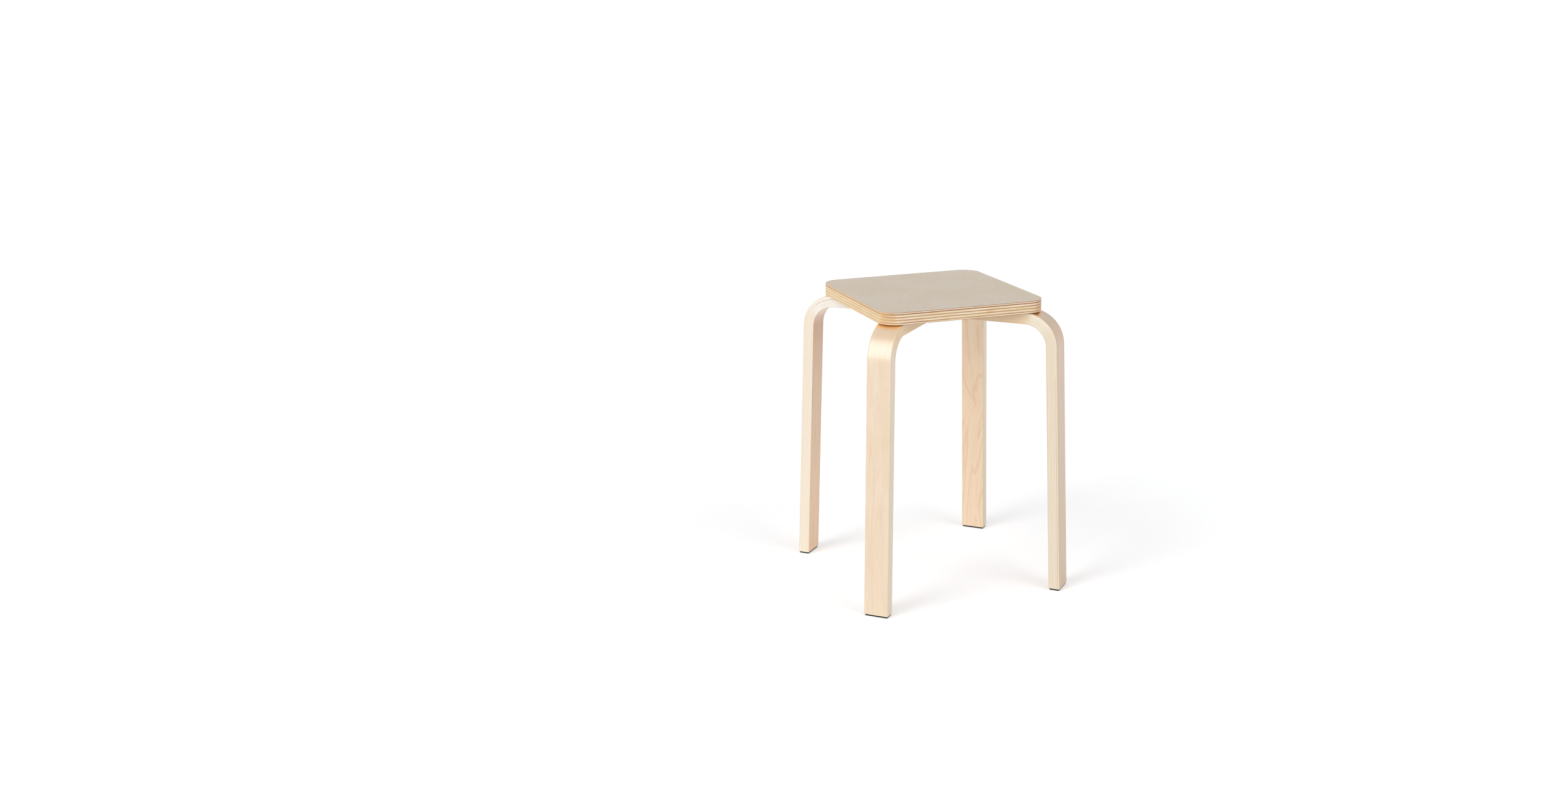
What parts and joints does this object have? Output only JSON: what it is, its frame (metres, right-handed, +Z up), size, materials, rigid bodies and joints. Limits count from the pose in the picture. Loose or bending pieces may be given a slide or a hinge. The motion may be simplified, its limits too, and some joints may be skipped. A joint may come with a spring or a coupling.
{
  "type": "stacking stool",
  "caption": "Square plywood seat with round corners and a pale hard sheet on four bent laminated wood legs with dark foot pads; stacks with others of its kind.",
  "frame": {"origin": "on the floor, under the middle of the seat", "axes": "+Z up; the seat's edges lie along X and Y, with a leg at each of its corners; -Y is called the front"},
  "size_m": [0.337, 0.337, 0.45],
  "materials": {
    "seat_sheet": "matte greige hard sheet with a fine linen grain",
    "seat_plywood": "lacquered birch plywood, plies showing on the edge",
    "seat_backing": "thin brown balancing sheet",
    "leg_laminate": "satin clear lacquer on birch veneers",
    "foot_pad": "matte near-black",
    "bolt_steel": "zinc plated",
    "insert_steel": "zinc plated, yellow passivated"
  },
  "bodies": {
    "root": {"seat_top_sheet": "seat_sheet", "seat_board": "seat_plywood", "seat_backing_sheet": "seat_backing", "back_right_leg": "leg_laminate", "back_right_foot_pad": "foot_pad", "back_right_bolt_1": "bolt_steel", "back_right_insert_1": "insert_steel", "back_right_bolt_2": "bolt_steel", "back_right_insert_2": "insert_steel", "back_left_leg": "leg_laminate", "back_left_foot_pad": "foot_pad", "back_left_bolt_1": "bolt_steel", "back_left_insert_1": "insert_steel", "back_left_bolt_2": "bolt_steel", "back_left_insert_2": "insert_steel", "front_left_leg": "leg_laminate", "front_left_foot_pad": "foot_pad", "front_left_bolt_1": "bolt_steel", "front_left_insert_1": "insert_steel", "front_left_bolt_2": "bolt_steel", "front_left_insert_2": "insert_steel", "front_right_leg": "leg_laminate", "front_right_foot_pad": "foot_pad", "front_right_bolt_1": "bolt_steel", "front_right_insert_1": "insert_steel", "front_right_bolt_2": "bolt_steel", "front_right_insert_2": "insert_steel"}
  },
  "joints": []
}
